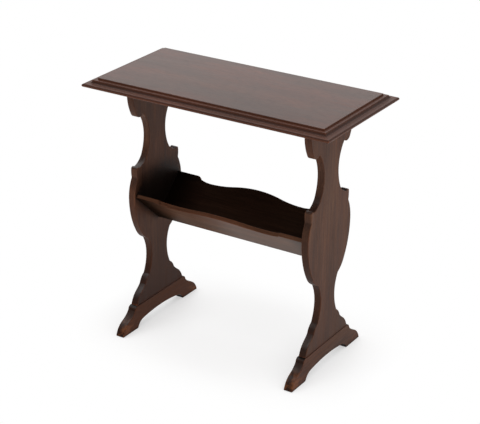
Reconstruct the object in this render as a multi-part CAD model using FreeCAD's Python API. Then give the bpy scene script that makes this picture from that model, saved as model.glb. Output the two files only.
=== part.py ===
import FreeCAD, Part
import math
import os

# Magazine table with rack: a moulded top on two shaped uprights with arched sledge feet, and a V trough
# of two thin boards between the uprights. Lengths are millimetres. X runs along the top, Y from front
# to back and Z up. The origin is on the floor, under the middle of the top.

# Overall sizes
table_height = 550.0
top_length = 555.0
top_width = 274.0
top_thickness = 17.0
end_overhang = 75.0

# Moulded edge of the top, from the raised field outwards
riser_height = 4.0
ledge_width = 8.0
cove_width = 5.2
cove_drop = 6.2
nose_ledge_width = 6.6
moulding_softening = 0.9

# Uprights: widths across Y, heights above the floor
upright_thickness = 15.5
base_width = 166.5
lower_neck_width = 54.5
belly_width = 165.5
upper_neck_width = 55.5
ear_width = 162.5
lower_neck_height = 150.0
belly_height = 292.0
upper_neck_height = 415.0
upright_softening = 1.2
cusp_radius = 1.6

# Outline of an upright. In each pair the first share goes outwards from the neck to the widest place of
# the stretch, and the second goes up from the lower to the upper place.
flare_middle_shares = (0.878, 0.148)
flare_turn_shares = (0.667, 0.268)
flare_cusp_shares = (0.446, 0.381)
nub_middle_shares = (0.354, 0.482)
nub_cusp_shares = (0.19, 0.564)
hip_cusp_shares = (0.203, 0.281)
hip_lobe_shares = (0.575, 0.414)
shoulder_cusp_shares = (0.8, 0.346)
shoulder_tip_shares = (0.826, 0.438)
shoulder_turn_shares = (0.821, 0.501)
shoulder_notch_shares = (0.658, 0.513)
shoulder_cove_shares = (0.155, 0.687)
ear_cusp_shares = (0.374, 0.444)
ear_turn_shares = (0.766, 0.456)
ear_side_share = 0.862

# Feet
foot_thickness = 19.0
foot_length = 272.0
foot_height = 51.5
pad_length = 53.5
arch_height = 21.0
foot_softening = 1.5

# Toe outline: outwards from the base of the upright to the toe's end, and up from the floor
toe_back_shares = (0.834, 0.329)
toe_turn_shares = (0.564, 0.525)
toe_cusp_shares = (0.171, 0.84)
# Arch outline: outwards from the middle to the inner end of the pad, and up to the top of the arch
arch_turn_shares = (0.776, 0.738)

# Trough of two sloping boards; the slope is measured from the level
trough_slope = 42.0
trough_bottom_height = 224.0
board_thickness = 8.0
board_reach = 100.0
board_softening = 1.0

# Shaped top edge of the trough boards
end_flat_length = 49.0
step_nose_run = 7.0
step_nose_drop = 5.5
step_cove_run = 29.0
sag_depth = 11.0
hump_rise = 1.5

# Cleats under the top
cleat_length = 140.0
cleat_height = 20.0
cleat_depth = 18.0

# Wood screws through the cleats
screw_length = 27.0
screw_diameter = 3.5
screw_head_diameter = 7.0
screw_head_height = 2.4
screw_point_length = 5.0
top_screw_spacing = 100.0
side_screw_spacing = 50.0

# Dowels between feet and uprights, and between trough boards and uprights
foot_dowel_diameter = 8.0
foot_dowel_length = 36.0
foot_dowel_pitch = 55.0
foot_dowel_count = 3
trough_dowel_diameter = 4.0
trough_dowel_length = 18.0
trough_dowel_depth = 8.0
trough_dowel_reaches = (25.0, 72.0)
dowel_end_gap = 1.0

# Panel pins along the bottom of the trough
pin_diameter = 1.8
pin_length = 20.0
pin_pitch = 100.0
pin_end_margin = 30.0

# Room round every dowel, screw and pin, overrun of cuts past a face, and distance taken as touching
fastener_clearance = 0.1
cut_overrun = 5.0
same_place = 0.001

# Places that follow from the sizes above
top_underside = table_height - top_thickness
nose_height = top_thickness - riser_height - cove_drop
nose_radius = nose_height / 2
upright_middle = top_length / 2 - end_overhang
upright_inner = upright_middle - upright_thickness / 2
slope = math.radians(trough_slope)
trough_inner_height = trough_bottom_height + board_thickness / math.cos(slope)
butt_length = board_thickness / math.sin(2 * slope)
pin_count = 1 + math.floor(2 * (upright_inner - pin_end_margin) / pin_pitch)

SIDES = {"left": -1, "right": 1}
X_AXIS = FreeCAD.Vector(1, 0, 0)
Y_AXIS = FreeCAD.Vector(0, 1, 0)
Z_AXIS = FreeCAD.Vector(0, 0, 1)


def point(x, y, z):
    return FreeCAD.Vector(x, y, z)


def line(start, end):
    return Part.LineSegment(start, end).toShape()


def arc(start, middle, end):
    return Part.Arc(start, middle, end).toShape()


def face_of(edges):
    """Flat face inside a closed loop of edges given in any order."""
    return Part.Face(Part.Wire(Part.__sortEdges__(edges)))


def between(low, high, share):
    return low + share * (high - low)


def station(half_inner, half_outer, low, high, shares):
    """Point of an outline in the plane X = 0, from its shares across and up."""
    across, up = shares
    return point(0, between(half_inner, half_outer, across), between(low, high, up))


class Pen:
    """Draws an outline of lines and arcs from a place; the heading lets an arc flow on smoothly."""

    def __init__(self, place, heading=None):
        self.place = place
        self.heading = heading
        self.edges = []

    def line_to(self, end):
        self.edges.append(line(self.place, end))
        self.heading = (end - self.place).normalize()
        self.place = end
        return self

    def arc_to(self, middle, end):
        self.edges.append(arc(self.place, middle, end))
        self.heading = self.edges[-1].tangentAt(self.edges[-1].LastParameter)
        self.place = end
        return self

    def flow_to(self, end):
        """Arc to the end that leaves along the heading; it arrives with the heading mirrored."""
        chord = end - self.place
        along = FreeCAD.Vector(chord).normalize()
        aside = self.heading - along * self.heading.dot(along)
        half_turn = math.atan2(aside.Length, self.heading.dot(along)) / 2
        bulge = FreeCAD.Vector(aside).normalize() * (chord.Length / 2 * math.tan(half_turn))
        self.edges.append(arc(self.place, self.place + chord / 2 + bulge, end))
        self.heading = along * (2 * self.heading.dot(along)) - self.heading
        self.place = end
        return self


def drawn(strokes, corners, normal):
    """Edges of all strokes and the sharp corners among them, both with their mirror images."""
    origin = point(0, 0, 0)
    edges = [edge for stroke in strokes for edge in stroke.edges]
    marks = [Part.Vertex(corner) for corner in corners]
    edges += [edge.mirror(origin, normal) for edge in edges]
    marks += [mark.mirror(origin, normal) for mark in marks]
    return edges, marks


def shaped_board(outline, thickness, softening, is_free):
    """Board about the plane of its outline, with rounded corners and softened arrises.

    The thickness is a vector across the board, and is_free tells from its middle whether an arris of
    the broad faces is softened.
    """
    edges, marks = outline
    face = face_of(edges)
    face.translate(thickness * -0.5)
    board = face.extrude(thickness)
    creases = [e for e in board.Edges if any(e.distToShape(mark)[0] < same_place for mark in marks)]
    board = board.makeFillet(cusp_radius, creases)
    broad = sorted(board.Faces, key=lambda side: side.Area)[-2:]
    arrises = [e for side in broad for e in side.Edges if is_free(e.CenterOfMass)]
    return board.makeFillet(softening, arrises)


def moulded_outline(half_width):
    """Section of the top across Y: raised field, riser, ledge, cove and round nose, with soft arrises."""
    ledge_level = table_height - riser_height
    nose_level = ledge_level - cove_drop
    nose_half = half_width - nose_radius
    cove_half = nose_half - nose_ledge_width
    ledge_half = cove_half - cove_width
    field_half = ledge_half - ledge_width
    stroke = Pen(point(0, 0, table_height))
    stroke.line_to(point(0, field_half - moulding_softening, table_height))
    stroke.flow_to(point(0, field_half, table_height - moulding_softening))
    stroke.line_to(point(0, field_half, ledge_level))
    stroke.line_to(point(0, ledge_half - moulding_softening, ledge_level))
    stroke.flow_to(point(0, ledge_half, ledge_level - moulding_softening))
    stroke.flow_to(point(0, cove_half, nose_level)).line_to(point(0, nose_half, nose_level))
    stroke.flow_to(point(0, nose_half, top_underside)).line_to(point(0, 0, top_underside))
    return drawn([stroke], [], Y_AXIS)[0]


def moulded_bar(width, length):
    """Bar with the moulded section along both long edges, lying along X about the Z axis."""
    face = face_of(moulded_outline(width / 2))
    face.translate(point(-length / 2, 0, 0))
    return face.extrude(point(length, 0, 0))


def table_top():
    """The moulding runs round all four edges and meets in mitres where two moulded bars cross."""
    along = moulded_bar(top_width, top_length)
    across = moulded_bar(top_length, top_width)
    across.rotate(point(0, 0, 0), Z_AXIS, 90)
    top = along.common(across)
    for side in SIDES.values():
        top = bored(top, cleat_screws(side, fastener_clearance))
    return top.removeSplitter()


def upright_outline():
    """Vase outline of an upright: flare, nub, neck, lobed belly, shoulder, neck and ear."""
    base, belly, ear = base_width / 2, belly_width / 2, ear_width / 2
    low_neck, high_neck = lower_neck_width / 2, upper_neck_width / 2

    def flare(shares):
        return station(low_neck, base, foot_height, lower_neck_height, shares)

    def hip(shares):
        return station(low_neck, belly, lower_neck_height, belly_height, shares)

    def shoulder(shares):
        return station(high_neck, belly, belly_height, upper_neck_height, shares)

    def head(shares):
        return station(high_neck, ear, upper_neck_height, top_underside, shares)

    flare_cusp, nub_cusp = flare(flare_cusp_shares), flare(nub_cusp_shares)
    hip_cusp, ear_cusp = hip(hip_cusp_shares), head(ear_cusp_shares)
    shoulder_cusp, notch = shoulder(shoulder_cusp_shares), shoulder(shoulder_notch_shares)
    low_narrow, wide, high_narrow = hip((0, 0)), hip((1, 1)), head((0, 0))
    down = Z_AXIS * -1

    flare_stroke = Pen(point(0, 0, foot_height)).line_to(flare((1, 0)))
    flare_stroke.arc_to(flare(flare_middle_shares), flare(flare_turn_shares)).flow_to(flare_cusp)
    flare_stroke.arc_to(flare(nub_middle_shares), nub_cusp)
    hip_stroke = Pen(wide, down).flow_to(hip(hip_lobe_shares)).flow_to(hip_cusp)
    shoulder_stroke = Pen(wide, Z_AXIS).flow_to(shoulder_cusp)
    shoulder_stroke.arc_to(shoulder(shoulder_tip_shares), shoulder(shoulder_turn_shares))
    shoulder_stroke.flow_to(notch)
    ear_stroke = Pen(point(0, 0, top_underside)).line_to(head((1, 1)))
    ear_stroke.line_to(head((1, ear_side_share))).flow_to(head(ear_turn_shares)).flow_to(ear_cusp)
    strokes = [
        flare_stroke,
        Pen(low_narrow, down).flow_to(nub_cusp),
        Pen(low_narrow, Z_AXIS).flow_to(hip_cusp),
        hip_stroke,
        shoulder_stroke,
        Pen(high_narrow, down).flow_to(shoulder(shoulder_cove_shares)).flow_to(notch),
        Pen(high_narrow, Z_AXIS).flow_to(ear_cusp),
        ear_stroke,
    ]
    corners = [flare_cusp, nub_cusp, hip_cusp, shoulder_cusp, notch, ear_cusp]
    return drawn(strokes, corners, Y_AXIS)


def upright(side):
    """Upright board; its arrises stay sharp in the joints with the foot and the top."""
    low, high = foot_height + upright_softening, top_underside - upright_softening
    board = shaped_board(
        upright_outline(),
        point(upright_thickness, 0, 0),
        upright_softening,
        lambda middle: low < middle.z < high,
    )
    board.translate(point(side * upright_middle, 0, 0))
    cutters = foot_dowels(side, fastener_clearance) + trough_dowels(side, fastener_clearance)
    return bored(board, cutters + cleat_screws(side, fastener_clearance))


def foot_outline():
    """Sledge foot: two floor pads joined by a low arch, with a stepped and rounded toe at each end."""
    pad_inner = point(0, foot_length / 2 - pad_length, 0)

    def toe(shares):
        return station(base_width / 2, foot_length / 2, 0, foot_height, shares)

    def arch(shares):
        return station(0, pad_inner.y, 0, arch_height, shares)

    toe_end, toe_cusp = toe((1, 0)), toe(toe_cusp_shares)
    strokes = [
        Pen(toe_end).arc_to(toe(toe_back_shares), toe(toe_turn_shares)).flow_to(toe_cusp),
        Pen(point(0, 0, foot_height)).line_to(toe((0, 1))).flow_to(toe_cusp),
        Pen(point(0, 0, arch_height), Y_AXIS).flow_to(arch(arch_turn_shares)).flow_to(pad_inner),
        Pen(pad_inner).line_to(toe_end),
    ]
    return drawn(strokes, [toe_end, toe_cusp], Y_AXIS)


def foot(side):
    """Sledge foot; its softening runs round the toes and along the pads."""
    board = shaped_board(
        foot_outline(),
        point(foot_thickness, 0, 0),
        foot_softening,
        lambda middle: middle.z > 0,
    )
    board.translate(point(side * upright_middle, 0, 0))
    return bored(board, foot_dowels(side, fastener_clearance))


def trough_directions(face):
    """Unit vectors up the slope of a trough board and out of its lower face; face is -1 in front."""
    up = point(0, face * math.cos(slope), math.sin(slope))
    out = point(0, face * math.sin(slope), -math.cos(slope))
    return up, out


def trough_outline():
    """A trough board laid flat: X along the trough, Y up the slope from the inside of the V."""
    nose_x = upright_inner - end_flat_length
    cove_x = nose_x - step_nose_run
    hump = point(0, board_reach + hump_rise, 0)
    sag = point(cove_x - step_cove_run, board_reach - sag_depth, 0)
    cove_top = point(cove_x, board_reach - step_nose_drop, 0)
    edge_stroke = Pen(hump, X_AXIS).flow_to((hump + sag) / 2).flow_to(sag).flow_to(cove_top)
    end_stroke = Pen(point(0, -board_reach, 0)).line_to(point(upright_inner, -board_reach, 0))
    end_stroke.line_to(point(upright_inner, board_reach, 0)).line_to(point(nose_x, board_reach, 0))
    end_stroke.flow_to(cove_top)
    return drawn([edge_stroke, end_stroke], [cove_top], X_AXIS)


def trough_room(face):
    """Room above the butt joint of the V. The back board butts on the inside of the front board."""
    inner_bottom = point(0, 0, trough_inner_height)
    outer_bottom = point(0, 0, trough_bottom_height)
    butt_corner = outer_bottom + trough_directions(1)[0] * butt_length
    low, high = (outer_bottom, butt_corner) if face < 0 else (butt_corner, inner_bottom)
    overrun = (high - low).normalize() * cut_overrun
    rise = trough_directions(face)[0] * (2 * board_reach)
    corners = [low - overrun, high + overrun, high + overrun + rise, low - overrun + rise, low - overrun]
    section = Part.Face(Part.makePolygon(corners))
    section.translate(point(-upright_middle, 0, 0))
    return section.extrude(point(2 * upright_middle, 0, 0))


def trough_board(face):
    """Sloping board with its shaped top edge, bevelled below to the butt joint of the V."""
    board = shaped_board(
        trough_outline(),
        point(0, 0, board_thickness),
        board_softening,
        lambda middle: middle.y > board_reach / 2,
    )
    up, out = trough_directions(-1)
    middle = point(0, 0, trough_inner_height) + out * (board_thickness / 2)
    board.Placement = FreeCAD.Placement(middle, FreeCAD.Rotation(X_AXIS, up, out))
    if face > 0:
        board = board.mirror(point(0, 0, 0), Y_AXIS)
    cutters = trough_pins(fastener_clearance)
    for side in SIDES.values():
        cutters += trough_dowels(side, fastener_clearance)
    return bored(board.common(trough_room(face)), cutters)


def bored(solid, cutters):
    for cutter in cutters:
        solid = solid.cut(cutter)
    return solid


def foot_dowels(side, clearance=0.0):
    """Upright dowels across the joint between a foot and its upright."""
    length = foot_dowel_length + (2 * dowel_end_gap if clearance else 0)
    first = -foot_dowel_pitch * (foot_dowel_count - 1) / 2
    return [
        Part.makeCylinder(
            foot_dowel_diameter / 2 + clearance,
            length,
            point(side * upright_middle, first + index * foot_dowel_pitch, foot_height - length / 2),
        )
        for index in range(foot_dowel_count)
    ]


def trough_dowels(side, clearance=0.0):
    """Level dowels between an upright and the ends of both trough boards."""
    end_gap = dowel_end_gap if clearance else 0
    length = trough_dowel_length + 2 * end_gap
    start_x = upright_inner + trough_dowel_depth + end_gap
    dowels = []
    for face in (-1, 1):
        up, out = trough_directions(face)
        for reach in trough_dowel_reaches:
            centre = point(0, 0, trough_inner_height) + up * reach + out * (board_thickness / 2)
            start = point(side * start_x, centre.y, centre.z)
            radius = trough_dowel_diameter / 2 + clearance
            dowels.append(Part.makeCylinder(radius, length, start, point(-side, 0, 0)))
    return dowels


def screw(head_centre, axis, clearance=0.0):
    """Countersunk wood screw with a plain shank and a point."""
    radius = screw_diameter / 2 + clearance
    head_radius = screw_head_diameter / 2 + clearance
    shank_end = screw_length - screw_point_length
    profile = [
        point(0, 0, 0),
        point(head_radius, 0, 0),
        point(radius, 0, screw_head_height),
        point(radius, 0, shank_end),
        point(0, 0, screw_length + clearance),
        point(0, 0, 0),
    ]
    solid = Part.Face(Part.makePolygon(profile)).revolve(point(0, 0, 0), Z_AXIS, 360)
    solid.Placement = FreeCAD.Placement(head_centre, FreeCAD.Rotation(Z_AXIS, axis))
    return solid


def cleat_screws(side, clearance=0.0):
    """Two screws up into the top and two level screws into the upright."""
    middle_x = side * (upright_inner - cleat_depth / 2)
    cleat_bottom = top_underside - cleat_height
    screws = []
    for end in (-1, 1):
        up_start = point(middle_x, end * top_screw_spacing / 2, cleat_bottom)
        screws.append(screw(up_start, Z_AXIS, clearance))
        side_start = point(
            side * (upright_inner - cleat_depth),
            end * side_screw_spacing / 2,
            top_underside - cleat_height / 2,
        )
        screws.append(screw(side_start, point(side, 0, 0), clearance))
    return screws


def cleat(side):
    inner_x = side * upright_inner
    start_x = min(inner_x, inner_x - side * cleat_depth)
    corner = point(start_x, -cleat_length / 2, top_underside - cleat_height)
    batten = Part.makeBox(cleat_depth, cleat_length, cleat_height, corner)
    return bored(batten, cleat_screws(side, fastener_clearance))


def trough_pins(clearance=0.0):
    """Panel pins through the front board, square to it, into the butted edge of the back board."""
    up, out = trough_directions(-1)
    butt_middle = point(0, 0, trough_inner_height) - up * (butt_length / 2)
    start = butt_middle + out * board_thickness
    first = -pin_pitch * (pin_count - 1) / 2
    return [
        Part.makeCylinder(
            pin_diameter / 2 + clearance,
            pin_length + clearance,
            start + point(first + index * pin_pitch, 0, 0),
            out * -1,
        )
        for index in range(pin_count)
    ]


def assembly():
    """Every piece of the table by its name."""
    pieces = {
        "table_top": table_top(),
        "trough_front_board": trough_board(-1),
        "trough_back_board": trough_board(1),
        "trough_pins": Part.makeCompound(trough_pins()),
    }
    for name, side in SIDES.items():
        pieces[name + "_upright"] = upright(side)
        pieces[name + "_foot"] = foot(side)
        pieces[name + "_cleat"] = cleat(side)
        pieces[name + "_cleat_screws"] = Part.makeCompound(cleat_screws(side))
        pieces[name + "_foot_dowels"] = Part.makeCompound(foot_dowels(side))
        pieces[name + "_trough_dowels"] = Part.makeCompound(trough_dowels(side))
    return pieces


os.makedirs("parts", exist_ok=True)
for piece_name, shape in assembly().items():
    shape.exportStep("parts/" + piece_name + ".step")
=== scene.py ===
"""Looks of the magazine table with rack: stained and polished wood, a pale floor and soft light."""

import math
from functools import partial

import bpy
import numpy as np
from mathutils import Matrix, Vector


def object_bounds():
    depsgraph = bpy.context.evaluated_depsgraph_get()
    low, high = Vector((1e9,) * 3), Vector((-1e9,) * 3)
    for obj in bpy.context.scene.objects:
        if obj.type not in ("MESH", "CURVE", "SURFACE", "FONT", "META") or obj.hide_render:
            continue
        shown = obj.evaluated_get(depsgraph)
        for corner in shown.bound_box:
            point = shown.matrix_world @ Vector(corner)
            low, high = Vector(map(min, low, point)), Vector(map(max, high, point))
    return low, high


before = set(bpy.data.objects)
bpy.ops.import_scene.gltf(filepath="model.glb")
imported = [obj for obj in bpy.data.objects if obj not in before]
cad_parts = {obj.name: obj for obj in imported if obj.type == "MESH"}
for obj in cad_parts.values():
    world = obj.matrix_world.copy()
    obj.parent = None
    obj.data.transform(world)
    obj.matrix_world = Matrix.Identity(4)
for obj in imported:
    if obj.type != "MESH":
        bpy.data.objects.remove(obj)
cad_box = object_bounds()

MM = 0.001


def box_of(node):
    """Lowest and highest corner of a CAD node."""
    corners = np.array([tuple(corner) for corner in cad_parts[node].bound_box])
    return corners.min(axis=0).tolist(), corners.max(axis=0).tolist()


foot_box = box_of("right_foot")
upright_box = box_of("right_upright")
board_box = box_of("trough_front_board")

# Viewing angle and lens of the photograph
VIEW_AZIMUTH = math.radians(32.418)
VIEW_ELEVATION = math.radians(24.012)
VIEW_ROLL = math.radians(0.349)
FOCAL_PIXELS = 1569.205
PICTURE_WIDTH_PIXELS = 480
SENSOR_WIDTH_MM = 36.0
TABLE_IN_VIEW = Vector((-5.127, -257.783, -3254.287)) * MM

# Floor: a round sheet, in metres; whiteness and glow are shares of plain white over its own shading
FLOOR_RADIUS = 26.0
FLOOR_RINGS = 24
FLOOR_SPOKES = 96
FLOOR_FIRST_RING = 0.02
FLOOR_WHITENESS = 0.66
# The floor's glow lights the table: painted light for its bounce
FLOOR_GLOW = 0.50
FLOOR_PALENESS = 0.9
FLOOR_LIFT = 1.6
FLOOR_SHADE_REACH = 0.15
FLOOR_CONTACT_SHADE_REACH = 0.12
FOOTPRINT_HALF = (0.205, 0.120, 0.0)

# Light: watts, sides and places in metres
ROOM_LIGHT = 0.03
OVERHEAD_LAMP_WATTS = 130.0
OVERHEAD_LAMP_SIDE = 5.0
OVERHEAD_LAMP_PLACE = Vector((0.0, -0.25, 2.9))
WINDOW_LAMP_WATTS = 12.0
WINDOW_LAMP_SIDE = 2.2
WINDOW_LAMP_PLACE = Vector((3.0, 0.1, 1.3))
LAMPS_AIM = Vector((0.0, 0.0, 0.35))

# Grain runs along the length of each board
GRAIN_ALONG_X = (0.0, 0.0, 0.0)
GRAIN_ALONG_Y = (0.0, 0.0, -math.pi / 2)
GRAIN_ALONG_Z = (0.0, math.pi / 2, 0.0)

# Patterns in the wood: length along the grain and width across it
GRAIN_WANDER = (330 * MM, 90 * MM)
BROAD_BANDS = (260 * MM, 34 * MM)
STREAKS = (120 * MM, 6 * MM)
FINE_LINES = (45 * MM, 2 * MM)
PORES = (10 * MM, 1 * MM)
TINT_DRIFT = (240 * MM, 110 * MM)
RUBBED_PATCHES = (60 * MM, 22 * MM)
TOP_FLECKS = (16 * MM, 4.5 * MM)
TOE_SCUFFS = (26 * MM, 12 * MM)

# Sway of the grain from side to side, depth of its relief, and spacing of the marks on drawn steel
GRAIN_SWAY = 10 * MM
RELIEF_DEPTH = 0.15 * MM
STEEL_MARKS = 1.5 * MM

# How far rubbing reaches in from an arris, and old wax and painted shade out from a corner
ARRIS_REACH = 4 * MM
MOULDING_ARRIS_REACH = 2.5 * MM
WAX_AND_SHADE_REACH = 9 * MM
MOULDING_WAX_AND_SHADE_REACH = 16 * MM
UPRIGHT_WAX_AND_SHADE_REACH = 20 * MM
TROUGH_SHADE_REACH = 140 * MM

# Places on the table that finishes and painted shade follow
RISER_HEIGHT = 4 * MM
FIELD_LEVEL = cad_box[1][2]
LEDGE_LEVEL = FIELD_LEVEL - RISER_HEIGHT
MITRE_START = cad_box[1][0] - cad_box[1][1]
UPRIGHT_MIDDLE = (upright_box[0][0] + upright_box[1][0]) / 2
FOOT_HEIGHT = foot_box[1][2]
TOE_END = foot_box[1][1]
TROUGH_BOTTOM = board_box[0][2]
TROUGH_RIM = board_box[1][2]
TROUGH_SLOPE = math.radians(42.0)
BOARD_END = board_box[1][0]
BOARD_SHADE_MIDDLE = 18 * MM

# Fades of finishes and painted shade along one axis, from where they have not begun to where they are full
RIGHT_TO_LEFT = (UPRIGHT_MIDDLE, -UPRIGHT_MIDDLE)
LEFT_TO_RIGHT = (-UPRIGHT_MIDDLE, UPRIGHT_MIDDLE)
TOP_FRONT_TO_BACK = (-200 * MM, 200 * MM)
MOULDING_FADE = (FIELD_LEVEL - 0.2 * MM, FIELD_LEVEL - 1.2 * MM)
COVE_FADE = (LEDGE_LEVEL - 2 * MM, LEDGE_LEVEL - 5 * MM)
END_MOULDING_FADE = (MITRE_START, MITRE_START + 1 * MM)
BELLY_FADE = (400 * MM, 320 * MM)
LOW_UPRIGHT_FADE = (320 * MM, 60 * MM)
TROUGH_DEPTH_FADE = (TROUGH_RIM + 64 * MM, TROUGH_RIM + 34 * MM)
ABOVE_BOARDS_FADE = (TROUGH_BOTTOM, TROUGH_BOTTOM + 12 * MM)
BOARD_END_FADE = (BOARD_END - 65 * MM, BOARD_END + 1 * MM)
BOARD_DULL_FADE = (20 * MM, -70 * MM)
TOE_FADE = (TOE_END - 41.5 * MM, TOE_END - 21.5 * MM)
SCUFF_FADE = (36 * MM, 20 * MM)
FOOT_LEDGE_FADE = (FOOT_HEIGHT - 6 * MM, FOOT_HEIGHT - 2 * MM)

# Tones of plain wood, from the darkest streak to the palest
BEECH_TONES = ("#9E7A58", "#B08C68", "#BC9A76", "#C8A884")
BARE_MAHOGANY_TONES = ("#4A3024", "#5F4030", "#6E4C39", "#7F5A45")


def linear(hex_colour):
    """Turns an sRGB hex colour to linear red, green, blue and a full alpha, by the sRGB curve."""
    parts = np.array([int(hex_colour[i:i + 2], 16) for i in (1, 3, 5)]) / 255
    curve = np.where(parts <= 0.04045, parts / 12.92, ((parts + 0.055) / 1.055) ** 2.4)
    return (*curve.tolist(), 1.0)


def add(tree, kind, inputs=(), output=0, **settings):
    """Adds a shader node with its settings, sets or links its inputs, which come in order or by name,
    and gives back one of its outputs."""
    node = tree.nodes.new("ShaderNode" + kind)
    for name, value in settings.items():
        setattr(node, name, value)
    for key, value in inputs.items() if isinstance(inputs, dict) else enumerate(inputs):
        if isinstance(value, bpy.types.NodeSocket):
            tree.links.new(value, node.inputs[key])
        else:
            node.inputs[key].default_value = value
    return node.outputs[output]


def empty_tree(owner, output_kind):
    """Empties the shader tree of a material or a world, and gives the tree and the socket of its surface."""
    owner.use_nodes = True
    tree = owner.node_tree
    tree.nodes.clear()
    return tree, tree.nodes.new(output_kind).inputs["Surface"]


class StainedWood:
    """Close-grained hardwood, stained and polished. Each layer lies over the colour so far: grain with short
    pores, then stain, rubbed arrises, old wax with painted shade in the corners, and the polish last."""

    def __init__(self, name, grain):
        self.material = bpy.data.materials.new(name)
        self.tree, self.surface = empty_tree(self.material, "ShaderNodeOutputMaterial")
        self.add = partial(add, self.tree)
        self.place = self.add("TexCoord", output="Object")
        self.along_grain = self.add("Mapping", {"Vector": self.place, "Rotation": grain})
        self.at = self.add("SeparateXYZ", [self.place]).node.outputs
        self.facing = self.add("SeparateXYZ", [self.add("NewGeometry", output="Normal")]).node.outputs

    def product(self, *shares):
        """All the given shares multiplied together."""
        total = shares[0]
        for share in shares[1:]:
            total = self.add("Math", [total, share], operation="MULTIPLY")
        return total

    def sawn_edge(self):
        """One on the sawn outline of a board that stands across the table, zero on its wide faces."""
        sideways = self.add("Math", [self.facing["X"]], operation="ABSOLUTE")
        return self.add("MapRange", [sideways, 0.6, 0.3])

    def patchy(self, size, detail, source=None, output="Fac"):
        """Noise whose patches are about as long along the grain and as wide across it as the given size."""
        length, width = size
        scale = (1 / length, 1 / width, 1 / width)
        stretched = self.add("Mapping", {"Vector": source or self.along_grain, "Scale": scale})
        settings = {"Vector": stretched, "Scale": 1.0, "Detail": detail, "Roughness": 0.55}
        return self.add("TexNoise", settings, output)

    def stain(self, share, tone):
        """Lays a tone over the colour so far."""
        layers = {0: share, 6: self.colour, 7: linear(tone)}
        self.colour = self.add("Mix", layers, 2, data_type="RGBA")

    def grow(self, tones, warm, cool):
        """Grain from the darkest streak to the palest, which wanders by half its sway to either side, and a
        slow change from a warm to a cool tint. Pores are drawn 1 mm wide to show at all."""
        wander = self.patchy(GRAIN_WANDER, 1.0, output="Color")
        sway = self.add("VectorMath", [wander, (0.5, 0.5, 0.5)], operation="SUBTRACT")
        sway = self.add("VectorMath", {0: sway, "Scale": GRAIN_SWAY}, operation="SCALE")
        grained = self.add("VectorMath", [self.along_grain, sway])
        self.streaks = self.patchy(STREAKS, 4.0, grained)
        self.lines = self.patchy(FINE_LINES, 3.0, grained)
        blend = self.product(self.patchy(BROAD_BANDS, 2.0, grained), 0.34)
        blend = self.add("Math", [self.streaks, 0.36, blend], operation="MULTIPLY_ADD")
        blend = self.add("Math", [self.lines, 0.30, blend], operation="MULTIPLY_ADD")
        ramp = self.add("ValToRGB", [blend])
        stops = ramp.node.color_ramp.elements
        for stop, tone in zip((0.36, 0.46, 0.54, 0.66), tones):
            stops.new(stop).color = linear(tone)
        stops.remove(stops[0])
        stops.remove(stops[-1])
        self.pores = self.add("MapRange", [self.patchy(PORES, 1.0, grained), 0.30, 0.44, 0.72, 1.0])
        drift = self.add("MapRange", [self.patchy(TINT_DRIFT, 2.0), 0.38, 0.62])
        tint = self.add("Mix", {0: drift, 6: linear(warm), 7: linear(cool)}, 2, data_type="RGBA")
        self.colour = ramp
        for factor in (tint, self.pores):
            layers = {0: 1.0, 6: self.colour, 7: factor}
            self.colour = self.add("Mix", layers, 2, data_type="RGBA", blend_type="MULTIPLY")

    def rub(self, tone, share, reach=ARRIS_REACH):
        """Arrises rubbed to a warmer bare tone in patches, where the solid wood thins out within reach."""
        thin = self.add("AmbientOcclusion", {"Distance": reach}, "AO", inside=True, only_local=True)
        worn = self.add("MapRange", [thin, 0.80, 0.35, 0.0, share])
        self.patches = self.add("MapRange", [self.patchy(RUBBED_PATCHES, 3.0), 0.40, 0.60, 0.2, 1.0])
        self.stain(self.product(worn, self.patches), tone)

    def wax_and_shade(self, tone, share=1.0, reach=WAX_AND_SHADE_REACH, open_from=0.85):
        """Old wax and dust, with painted shade, that darken corners and the wood within reach of them."""
        # Painted shade and old wax: darker where the surroundings close in
        openness = self.add("AmbientOcclusion", {"Distance": reach}, "AO", samples=8)
        self.waxed_and_shaded = self.add("MapRange", [openness, open_from, open_from - 0.4, 0.0, share])
        self.stain(self.waxed_and_shaded, tone)

    def polish(self, gloss, sheen, coat=0.0, coat_roughness=0.3):
        """Roughness between the two gloss values along the streaks, duller in the waxed and shaded corners,
        with an even sheen, and a clear coat of polish over it where there is any left."""
        rough = self.add("MapRange", [self.streaks, 0.35, 0.65, *gloss])
        rough = self.add("Math", [self.waxed_and_shaded, 0.2, rough], operation="MULTIPLY_ADD")
        relief = self.add("Math", [self.lines, 0.5, self.pores], operation="MULTIPLY_ADD")
        shader = self.add("BsdfPrincipled", {
            "Base Color": self.colour,
            "Roughness": rough,
            "Normal": self.add("Bump", {"Height": relief, "Strength": 0.18, "Distance": RELIEF_DEPTH}),
            "IOR": 1.5,
            "Specular IOR Level": sheen,
            "Coat Weight": coat,
            "Coat Roughness": coat_roughness,
        })
        self.tree.links.new(shader, self.surface)
        return self.material


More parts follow.
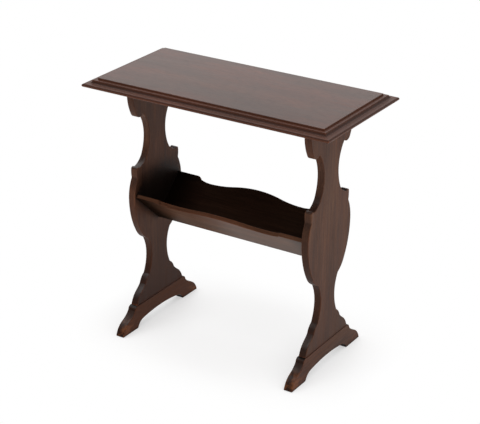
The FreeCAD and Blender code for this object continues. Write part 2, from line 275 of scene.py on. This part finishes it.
def top_wood():
    """Polished mahogany with short dark flecks: a field that mirrors the pale room, most of all at the back,
    and a moulded edge that is stained warmer and less polished, with painted shade on its slanted faces and
    in its cove, and a little greyer at the two ends."""
    wood = StainedWood("mahogany_polished_top", GRAIN_ALONG_X)
    wood.grow(("#412B24", "#4F372F", "#573C33", "#634539"), "#FFEBE4", "#E4EAEB")
    flecks = wood.add("MapRange", [wood.patchy(TOP_FLECKS, 4.0), 0.47, 0.65, 0.0, 0.42])
    wood.stain(flecks, "#2E1D17")
    edge = wood.add("MapRange", [wood.at["Z"], *MOULDING_FADE])
    wood.stain(wood.product(edge, 0.45), "#502C1D")
    level = wood.add("MapRange", [wood.facing["Z"], 0.82, 0.99])
    # Painted shade on the slanted faces of the moulding
    slanted = wood.product(edge, wood.add("MapRange", [level, 0.0, 1.0, 0.45, 0.0]))
    wood.stain(wood.product(slanted, wood.add("MapRange", [wood.facing["Z"], 0.1, 0.5])), "#1E0F0A")
    steep = wood.add("MapRange", [wood.facing["Z"], 0.35, 0.05])
    wood.stain(wood.product(edge, steep, 0.45), "#7C4E3A")
    off_centre = wood.add("VectorMath", [wood.place], operation="ABSOLUTE")
    off_centre = wood.add("SeparateXYZ", [off_centre]).node.outputs
    past_mitre = wood.add("Math", [off_centre["X"], off_centre["Y"]], operation="SUBTRACT")
    end = wood.add("MapRange", [past_mitre, *END_MOULDING_FADE])
    wood.stain(wood.product(edge, end, 0.15), "#261B16")
    wood.rub("#96583A", 0.55, MOULDING_ARRIS_REACH)
    low = wood.add("MapRange", [wood.at["Z"], *COVE_FADE, 0.05, 0.9])
    # Painted shade and old wax in the cove of the moulding
    wood.wax_and_shade("#170D09", low, MOULDING_WAX_AND_SHADE_REACH, open_from=0.95)
    back = wood.add("Math", [wood.at["X"], -0.35, wood.at["Y"]], operation="MULTIPLY_ADD")
    coat = wood.add("MapRange", [back, *TOP_FRONT_TO_BACK, 0.53, 0.78])
    bare = wood.product(edge, wood.add("MapRange", [level, 0.0, 1.0, 1.0, 0.55]))
    bare = wood.product(bare, wood.add("MapRange", [end, 0.0, 1.0, 1.0, 0.85]))
    coat = wood.product(coat, wood.add("MapRange", [bare, 0.0, 1.0, 1.0, 0.0]))
    return wood.polish((0.40, 0.50), 0.08, coat, 0.37)


def upright_wood():
    """Satin mahogany boards with upright grain. They are darker towards the floor, and on sawn edges from
    the belly down, most of all on the right. Painted shade darkens them more on the left low down, in the
    depth of the trough and in the corners. Edges that face upwards have painted shade that makes them
    darkest, and have most polish."""
    wood = StainedWood("mahogany_satin_uprights", GRAIN_ALONG_Z)
    wood.grow(("#442B20", "#5A3D2F", "#664635", "#795540"), "#FFF0E9", "#F4F0EC")
    # Darker towards the floor; the extra darkness on the left is painted shade
    low = wood.add("MapRange", [wood.at["Z"], *LOW_UPRIGHT_FADE, 0.0, 0.45])
    left = wood.add("MapRange", [wood.at["X"], *RIGHT_TO_LEFT, 1.08, 2.1])
    wood.stain(wood.product(low, left), "#341809")
    edge = wood.sawn_edge()
    belly = wood.add("MapRange", [wood.at["Z"], *BELLY_FADE])
    right = wood.add("MapRange", [wood.at["X"], *LEFT_TO_RIGHT, 0.1, 0.5])
    wood.stain(wood.product(edge, belly, right), "#1E0E08")
    # Painted shade on sawn edges that face upwards
    upward = wood.add("MapRange", [wood.facing["Z"], 0.15, 0.55])
    wood.stain(wood.product(edge, upward, 0.65), "#140B08")
    wood.rub("#8A4C30", 0.75)
    # Painted shade in the depth of the trough, above the boards
    openness = wood.add("AmbientOcclusion", {"Distance": TROUGH_SHADE_REACH}, "AO", samples=8)
    depth = wood.add("MapRange", [openness, 0.92, 0.74, 0.0, 0.97])
    depth = wood.product(depth, wood.add("MapRange", [wood.at["Z"], *TROUGH_DEPTH_FADE]))
    off_middle = wood.add("Math", [wood.at["Y"]], operation="ABSOLUTE")
    above = wood.add("Math", [off_middle, -math.tan(TROUGH_SLOPE), wood.at["Z"]], operation="MULTIPLY_ADD")
    above = wood.add("MapRange", [above, *ABOVE_BOARDS_FADE])
    wood.stain(wood.product(depth, above), "#0C0604")
    # Painted shade and old wax that reach far out of the corners
    wood.wax_and_shade("#110906", reach=UPRIGHT_WAX_AND_SHADE_REACH)
    shiny = wood.add("MapRange", [wood.facing["Z"], 0.55, 0.95])
    return wood.polish((0.40, 0.52), 0.1, wood.product(shiny, wood.patches, 0.7))


def foot_wood():
    """Satin mahogany sledge feet, warmer on the left, with dark sawn edges, toes that are scuffed to a bare
    orange-brown tone in patches, and old wax with painted shade on the ledge round the upright and in the
    corners."""
    wood = StainedWood("mahogany_scuffed_feet", GRAIN_ALONG_Y)
    wood.grow(("#3B251A", "#51362A", "#5E4032", "#70503E"), "#FFF0E8", "#F4F0EC")
    left = wood.add("MapRange", [wood.at["X"], *RIGHT_TO_LEFT, 0.0, 0.6])
    wood.stain(left, "#50280F")
    edge = wood.sawn_edge()
    wood.stain(wood.product(edge, 0.8), "#150B07")
    wood.rub("#8A4C30", 0.75)
    off_middle = wood.add("Math", [wood.at["Y"]], operation="ABSOLUTE")
    toe = wood.add("MapRange", [off_middle, *TOE_FADE])
    bare = wood.add("MapRange", [wood.patchy(TOE_SCUFFS, 3.0), 0.46, 0.62])
    bare = wood.product(toe, bare, wood.add("MapRange", [wood.at["Z"], *SCUFF_FADE]))
    wood.stain(wood.product(bare, 0.5), "#8A5433")
    # Old wax and painted shade on the ledge round the upright
    level = wood.add("MapRange", [wood.facing["Z"], 0.7, 0.9])
    high = wood.add("MapRange", [wood.at["Z"], *FOOT_LEDGE_FADE])
    wood.stain(wood.product(level, high, 0.95), "#0C0604")
    # Old wax and painted shade in the corners
    wood.wax_and_shade("#110906")
    shiny = wood.add("MapRange", [wood.facing["Z"], 0.5, 0.95])
    return wood.polish((0.42, 0.56), 0.08, wood.product(shiny, wood.patches, 0.44))


def trough_wood():
    """Thin satin mahogany boards with a rubbed rim and an unpolished inside that is dark from stain and
    painted shade. Painted shade gathers towards the ends, mostly on faces that look to the front, and the
    polish is worn off on the left."""
    wood = StainedWood("mahogany_satin_trough", GRAIN_ALONG_X)
    wood.grow(("#4C3428", "#604536", "#6B4D3D", "#7F5F4B"), "#FFF0E8", "#F0F2F0")
    side = wood.add("Math", [wood.at["Y"]], operation="SIGN")
    outward = wood.product(wood.facing["Y"], side)
    inside = wood.add("MapRange", [outward, -0.2, -0.5])
    rim = wood.add("MapRange", [outward, 0.4, 0.6])
    rim = wood.product(rim, wood.add("MapRange", [wood.facing["Z"], 0.3, 0.5]))
    wood.stain(wood.product(rim, 0.4), "#52301F")
    wood.rub("#8E4C30", 0.85)
    # The inside: dark stain with painted shade
    wood.stain(wood.product(inside, 0.84), "#120B08")
    # Painted shade towards both ends of the boards, where they meet the uprights
    ends = wood.add("Math", [wood.at["X"], BOARD_SHADE_MIDDLE], operation="SUBTRACT")
    ends = wood.add("Math", [ends], operation="ABSOLUTE")
    ends = wood.add("MapRange", [ends, *BOARD_END_FADE, 0.0, 0.93])
    to_front = wood.add("MapRange", [wood.facing["Y"], 0.3, -0.3, 0.35, 1.0])
    off_rim = wood.add("MapRange", [rim, 0.0, 1.0, 1.0, 0.25])
    wood.stain(wood.product(ends, to_front, off_rim), "#0C0603")
    # Old wax and painted shade in the corners
    wood.wax_and_shade("#0C0604")
    left = wood.add("MapRange", [wood.at["X"], *BOARD_DULL_FADE])
    dull = wood.add("Math", [inside, left], operation="MAXIMUM")
    dull = wood.add("Math", [dull, rim], operation="MAXIMUM")
    coat = wood.add("MapRange", [dull, 0.0, 1.0, 0.26, 0.0])
    return wood.polish((0.42, 0.54), 0.008, coat, 0.36)


def plain_wood(name, grain, tones, bare, shade):
    """Unpolished wood of the hidden cleats, dowels and pegs: dry and dull."""
    wood = StainedWood(name, grain)
    wood.grow(tones, "#FFF4EC", "#F2F2EE")
    wood.rub(bare, 0.25)
    # Old wax and painted shade in the corners
    wood.wax_and_shade(shade, 0.6)
    return wood.polish((0.60, 0.72), 0.3)


def steel(name):
    """Bright drawn steel of screws and panel pins: grey, with fine marks from drawing and a light haze."""
    material = bpy.data.materials.new(name)
    tree, surface = empty_tree(material, "ShaderNodeOutputMaterial")
    place = add(tree, "TexCoord", output="Object")
    marks = add(tree, "TexNoise", {"Vector": place, "Scale": 1 / STEEL_MARKS, "Detail": 3.0}, "Fac")
    tone = add(tree, "ValToRGB", [marks])
    for stop, shade in zip(tone.node.color_ramp.elements, ("#77756F", "#B4B1AA")):
        stop.color = linear(shade)
    haze = add(tree, "MapRange", [marks, 0.0, 1.0, 0.28, 0.48])
    shader = add(tree, "BsdfPrincipled", {"Base Color": tone, "Roughness": haze, "Metallic": 1.0})
    tree.links.new(shader, surface)
    return material


def seen_rays(tree):
    """One for rays from the camera, off gloss or through glass, and zero for rays that carry light."""
    rays = add(tree, "LightPath").node.outputs
    seen = add(tree, "Math", [rays["Is Camera Ray"], rays["Is Glossy Ray"]], operation="MAXIMUM")
    return add(tree, "Math", [seen, rays["Is Transmission Ray"]], operation="MAXIMUM")


def studio_paper(name):
    """Matt white paper: it keeps the soft shadow of the feet, with a painted contact shadow round them, and
    away from them it turns to plain white. It also glows onto the table, as painted light for the bounce
    from the floor.
    """
    material = bpy.data.materials.new(name)
    tree, surface = empty_tree(material, "ShaderNodeOutputMaterial")
    seen = seen_rays(tree)
    away = add(tree, "VectorMath", [add(tree, "TexCoord", output="Object")], operation="ABSOLUTE")
    away = add(tree, "VectorMath", [away, FOOTPRINT_HALF], operation="SUBTRACT")
    away = add(tree, "VectorMath", [away, (0.0, 0.0, 0.0)], operation="MAXIMUM")
    away = add(tree, "VectorMath", [away], "Value", operation="LENGTH")
    white = add(tree, "MapRange", [away, 0.0, FLOOR_SHADE_REACH, FLOOR_WHITENESS, 1.0],
                interpolation_type="SMOOTHSTEP")
    share = add(tree, "MapRange", [seen, 0.0, 1.0, FLOOR_GLOW, white])
    pale = add(tree, "MapRange", [seen, 0.0, 1.0, FLOOR_PALENESS, FLOOR_PALENESS * FLOOR_LIFT])
    # Painted contact shadow: the glow of the paper dims near the feet
    openness = add(tree, "AmbientOcclusion", {"Distance": FLOOR_CONTACT_SHADE_REACH}, "AO", samples=16)
    glow = add(tree, "MapRange", [openness, 0.45, 1.0, 0.80, 1.0])
    paper = add(tree, "BsdfDiffuse", [pale])
    plain = add(tree, "Emission", [linear("#FFFFFF"), glow])
    tree.links.new(add(tree, "MixShader", [share, paper, plain]), surface)
    return material


def floor_sheet():
    """A flat round sheet at floor height: rings spread as the square of their number, spokes at even angles,
    each point at radius times cosine and sine of its angle."""
    radius = FLOOR_RADIUS * np.linspace(FLOOR_FIRST_RING, 1, FLOOR_RINGS) ** 2
    angle = np.linspace(0, 2 * math.pi, FLOOR_SPOKES, endpoint=False)
    ring, spoke = np.meshgrid(radius, angle, indexing="ij")
    points = np.stack([ring * np.cos(spoke), ring * np.sin(spoke), np.zeros_like(ring)], axis=-1)
    number = np.arange(FLOOR_RINGS * FLOOR_SPOKES).reshape(FLOOR_RINGS, FLOOR_SPOKES)
    onward = np.roll(number, -1, axis=1)
    quads = np.stack([number[:-1], number[1:], onward[1:], onward[:-1]], axis=-1).reshape(-1, 4)
    mesh = bpy.data.meshes.new("pale_floor")
    mesh.from_pydata(points.reshape(-1, 3).tolist(), [], quads.tolist() + [number[0].tolist()])
    mesh.materials.append(studio_paper("white_studio_paper"))
    sheet = bpy.data.objects.new("pale_floor", mesh)
    bpy.context.scene.collection.objects.link(sheet)


def dress(material, *nodes):
    """Puts a material into the slots of the named CAD nodes."""
    for node in nodes:
        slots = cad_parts[node].data.materials
        slots.clear()
        slots.append(material)


def aimed_lamp(name, watts, side, place):
    """A square soft lamp that faces the middle of the table."""
    lamp = bpy.data.lights.new(name, "AREA")
    lamp.energy = watts
    lamp.shape = "SQUARE"
    lamp.size = side
    held = bpy.data.objects.new(name, lamp)
    held.location = place
    held.rotation_euler = (LAMPS_AIM - place).to_track_quat("-Z", "Y").to_euler()
    bpy.context.scene.collection.objects.link(held)


def white_surround():
    """A white room that the camera and the polish see, but that gives little light."""
    world = bpy.data.worlds.new("white_surround")
    bpy.context.scene.world = world
    tree, surface = empty_tree(world, "ShaderNodeOutputWorld")
    level = add(tree, "MapRange", [seen_rays(tree), 0.0, 1.0, ROOM_LIGHT, 1.0])
    tree.links.new(add(tree, "Background", [linear("#FFFFFF"), level]), surface)


def camera():
    """Camera axes from azimuth, elevation and roll; its place is where those axes put the table in view."""
    right = Vector((math.cos(VIEW_AZIMUTH), math.sin(VIEW_AZIMUTH), 0))
    back = Vector((
        math.sin(VIEW_AZIMUTH) * math.cos(VIEW_ELEVATION),
        -math.cos(VIEW_AZIMUTH) * math.cos(VIEW_ELEVATION),
        math.sin(VIEW_ELEVATION),
    ))
    turn = Matrix.Rotation(VIEW_ROLL, 3, back)
    axes = Matrix((turn @ right, turn @ back.cross(right), back)).transposed()
    lens = bpy.data.cameras.new("photograph_view")
    lens.sensor_fit = "HORIZONTAL"
    lens.sensor_width = SENSOR_WIDTH_MM
    lens.lens = FOCAL_PIXELS / PICTURE_WIDTH_PIXELS * SENSOR_WIDTH_MM
    lens.clip_end = 4 * FLOOR_RADIUS
    held = bpy.data.objects.new("photograph_view", lens)
    held.matrix_world = Matrix.Translation(-(axes @ TABLE_IN_VIEW)) @ axes.to_4x4()
    bpy.context.scene.collection.objects.link(held)
    bpy.context.scene.camera = held


dress(top_wood(), "table_top")
dress(upright_wood(), "left_upright", "right_upright")
dress(foot_wood(), "left_foot", "right_foot")
dress(trough_wood(), "trough_front_board", "trough_back_board")
cleat_wood = plain_wood("mahogany_bare_cleats", GRAIN_ALONG_Y, BARE_MAHOGANY_TONES, "#8F6A50", "#20140F")
dress(cleat_wood, "left_cleat", "right_cleat")
dowel_wood = plain_wood("beech_plain_dowels", GRAIN_ALONG_Z, BEECH_TONES, "#D2B694", "#6A4E36")
dress(dowel_wood, "left_foot_dowels", "right_foot_dowels")
peg_wood = plain_wood("beech_plain_pegs", GRAIN_ALONG_X, BEECH_TONES, "#D2B694", "#6A4E36")
dress(peg_wood, "left_trough_dowels", "right_trough_dowels")
dress(steel("steel_bright_drawn"), "left_cleat_screws", "right_cleat_screws", "trough_pins")

floor_sheet()
aimed_lamp("overhead_lamp", OVERHEAD_LAMP_WATTS, OVERHEAD_LAMP_SIDE, OVERHEAD_LAMP_PLACE)
aimed_lamp("window_lamp", WINDOW_LAMP_WATTS, WINDOW_LAMP_SIDE, WINDOW_LAMP_PLACE)
white_surround()
bpy.context.scene.view_settings.view_transform = "Standard"
camera()
